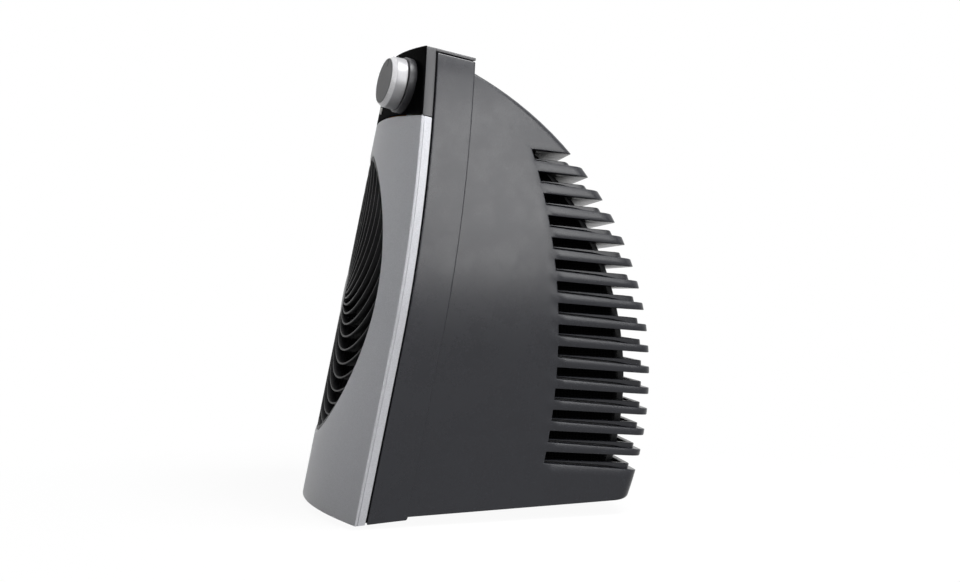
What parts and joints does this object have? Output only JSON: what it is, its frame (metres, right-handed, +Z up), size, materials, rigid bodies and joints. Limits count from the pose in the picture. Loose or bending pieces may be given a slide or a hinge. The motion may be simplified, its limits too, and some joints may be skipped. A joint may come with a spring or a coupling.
{
  "type": "ceramic space heater",
  "caption": "Free-standing fan heater with a bowed, leaning front, oval swirl grille, top control panel with a knob and push keys, tapered sides and a louvred back.",
  "frame": {"origin": "on the floor, under the middle of the overall box", "axes": "+Z up, the front faces -Y, +X to the right seen from behind"},
  "size_m": [0.2596, 0.2154, 0.29],
  "materials": {
    "graphite_plastic": "fine satin grain",
    "gloss_black": "high gloss",
    "silver_plastic": "satin metallic lacquer on plastic",
    "black_plastic": "satin",
    "dark_plastic": "satin",
    "satin_silver": "satin metallic",
    "grey_plastic": "satin",
    "cream_plastic": "moulded",
    "steel": "zinc plated",
    "lens": "clear, diffusing",
    "amber": "neon lamp",
    "rubber": "matt",
    "zinc": "zinc plated",
    "iron": "laminated",
    "copper": "wound",
    "bronze": "sintered",
    "phenolic": "moulded",
    "mica": "sheet",
    "fin_aluminium": "bright sheet",
    "ceramic": "fired",
    "wire_red": "insulated"
  },
  "bodies": {
    "casing": {"rear_housing": "graphite_plastic", "top_cover": "graphite_plastic", "control_panel": "gloss_black", "front_bezel": "silver_plastic", "outlet_grille": "black_plastic", "grille_hub": "dark_plastic", "dial_ring": "dark_plastic", "thermostat_body": "cream_plastic", "thermostat_nut": "steel", "key_switch": "cream_plastic", "key_springs": "steel", "pilot_lens": "lens", "pilot_lamp": "amber", "base_plate": "graphite_plastic", "rubber_feet": "rubber", "case_screws": "steel", "fan_shroud": "black_plastic", "shroud_screws": "steel", "motor_can": "zinc", "motor_end_bell": "zinc", "motor_stator": "iron", "motor_bushes": "bronze", "motor_screws": "steel", "heater_frame": "phenolic", "heater_baffle": "mica", "heater_screws": "steel", "heater_fins": "fin_aluminium", "heater_electrodes": "fin_aluminium", "ptc_stones": "ceramic", "thermal_cutout": "phenolic", "thermal_fuse": "cream_plastic", "fuse_clip": "steel", "tip_switch_frame": "cream_plastic", "tip_pin": "steel", "tip_microswitch": "phenolic", "terminal_block": "cream_plastic", "cord_gland": "rubber", "wiring": "wire_red"},
    "knob": {"control_knob": "satin_silver", "knob_cap": "grey_plastic", "thermostat_shaft": "steel"},
    "key_fan": {"key_fan": "dark_plastic"},
    "key_low": {"key_low": "dark_plastic"},
    "key_high": {"key_high": "dark_plastic"},
    "rotor": {"motor_shaft": "steel", "motor_armature": "copper", "fan_impeller": "dark_plastic", "fan_clip": "steel"},
    "tip_pendulum": {"tip_pendulum": "zinc"}
  },
  "joints": [
    {"name": "knob_turn", "type": "hinge", "parent": "casing", "child": "knob", "pos_m": [0.07903, -0.04438, 0.26446], "axis": [0.2656, -0.9451, 0.1906], "range_deg": [-280, 0]},
    {"name": "key_fan_press", "type": "slide", "parent": "casing", "child": "key_fan", "axis": [0.1994, 0.9606, -0.1937], "range_m": [0, 0.0025], "stiffness_N_per_m": 400, "springref_m": -0.002},
    {"name": "key_low_press", "type": "slide", "parent": "casing", "child": "key_low", "axis": [0.1994, 0.9606, -0.1937], "range_m": [0, 0.0025], "stiffness_N_per_m": 400, "springref_m": -0.002},
    {"name": "key_high_press", "type": "slide", "parent": "casing", "child": "key_high", "axis": [0.1994, 0.9606, -0.1937], "range_m": [0, 0.0025], "stiffness_N_per_m": 400, "springref_m": -0.002},
    {"name": "fan_spin", "type": "hinge", "parent": "casing", "child": "rotor", "pos_m": [0, -0.01251, 0.12242], "axis": [0, -0.9803, 0.1977], "continuous": true},
    {"name": "tip_swing", "type": "hinge", "parent": "casing", "child": "tip_pendulum", "pos_m": [-0.05, 0.01289, 0.043], "axis": [1, 0, 0], "range_deg": [-15, 15]}
  ]
}
